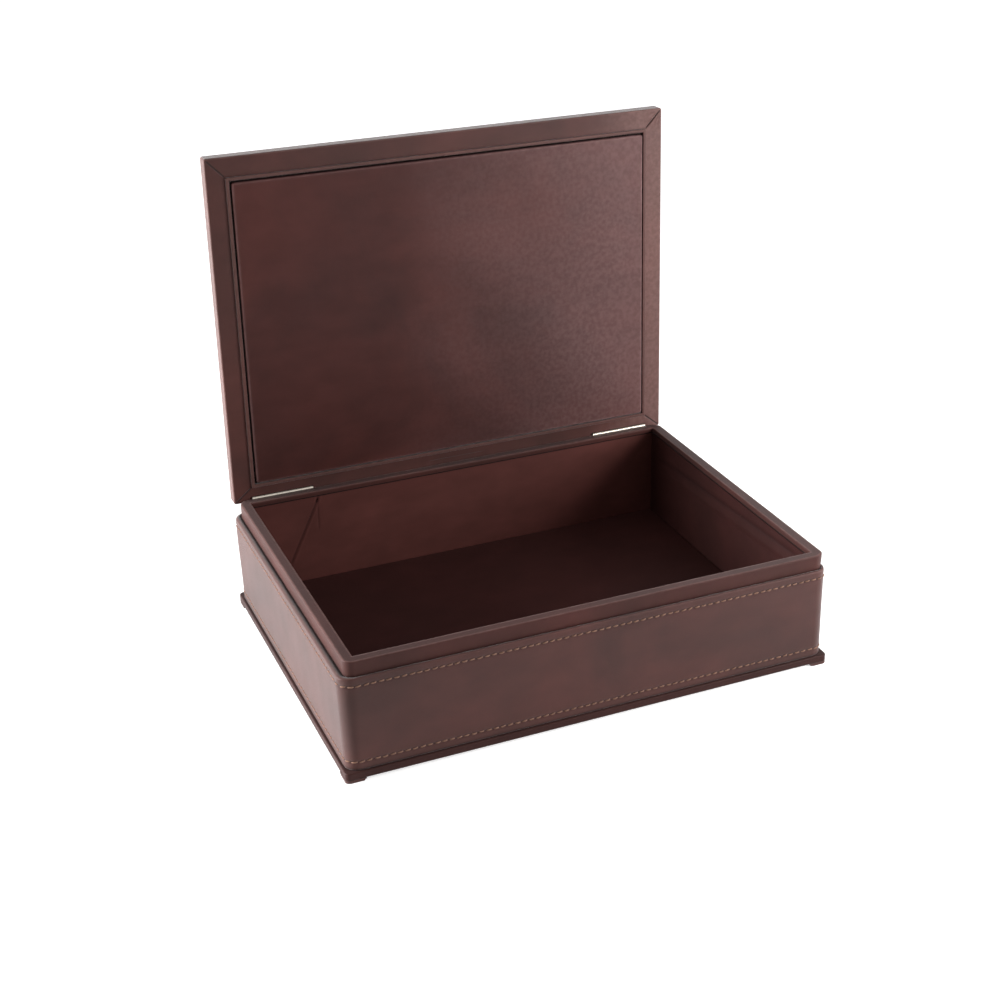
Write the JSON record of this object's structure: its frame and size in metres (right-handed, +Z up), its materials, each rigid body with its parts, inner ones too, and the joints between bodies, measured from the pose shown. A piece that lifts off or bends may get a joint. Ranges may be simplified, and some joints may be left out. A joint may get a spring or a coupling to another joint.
{
  "type": "stationery box",
  "caption": "Leather-covered stationery box with a plinth, a recessed neck and a flat overhanging lid standing open on two small hinges.",
  "frame": {"origin": "under the middle of the bounding box with the lid open as stored, on the surface that the feet stand on", "axes": "+X to the right along the hinge line, +Y to the rear where the hinges are, +Z up"},
  "size_m": [0.3388, 0.2612, 0.3261],
  "materials": {
    "leather": "satin, smooth, dark chocolate brown",
    "lining_leather": "satin, smooth, dark brown",
    "panel_leather": "satin, mottled dark brown",
    "board": "plain pressed board, hidden",
    "nickel": "bright nickel plate"
  },
  "bodies": {
    "box": {"foot_front_left": "leather", "foot_front_right": "leather", "foot_rear_left": "leather", "foot_rear_right": "leather", "plinth_board": "board", "plinth_cover": "leather", "case_front_board": "board", "case_rear_board": "board", "case_left_board": "board", "case_right_board": "board", "case_cover": "leather", "tray_front_board": "board", "tray_rear_board": "board", "tray_left_board": "board", "tray_right_board": "board", "tray_floor_board": "board", "neck_cover": "leather", "lining_front": "lining_leather", "lining_rear": "lining_leather", "lining_left": "lining_leather", "lining_right": "lining_leather", "lining_floor": "lining_leather", "hinge_left_tray_leaf": "nickel", "hinge_right_tray_leaf": "nickel", "hinge_left_pin": "nickel", "hinge_right_pin": "nickel", "tray_leaf_screws": "nickel"},
    "lid": {"lid_board": "board", "lid_cover": "leather", "lid_step_frame": "leather", "lid_panel_board": "board", "lid_panel_cover": "panel_leather", "hinge_left_lid_leaf": "nickel", "hinge_right_lid_leaf": "nickel", "lid_leaf_screws": "nickel"}
  },
  "joints": [
    {"name": "lid_hinge", "type": "hinge", "parent": "box", "child": "lid", "pos_m": [0, 0.11378, 0.0811], "axis": [1, 0, 0], "range_deg": [0, 91.5]}
  ]
}
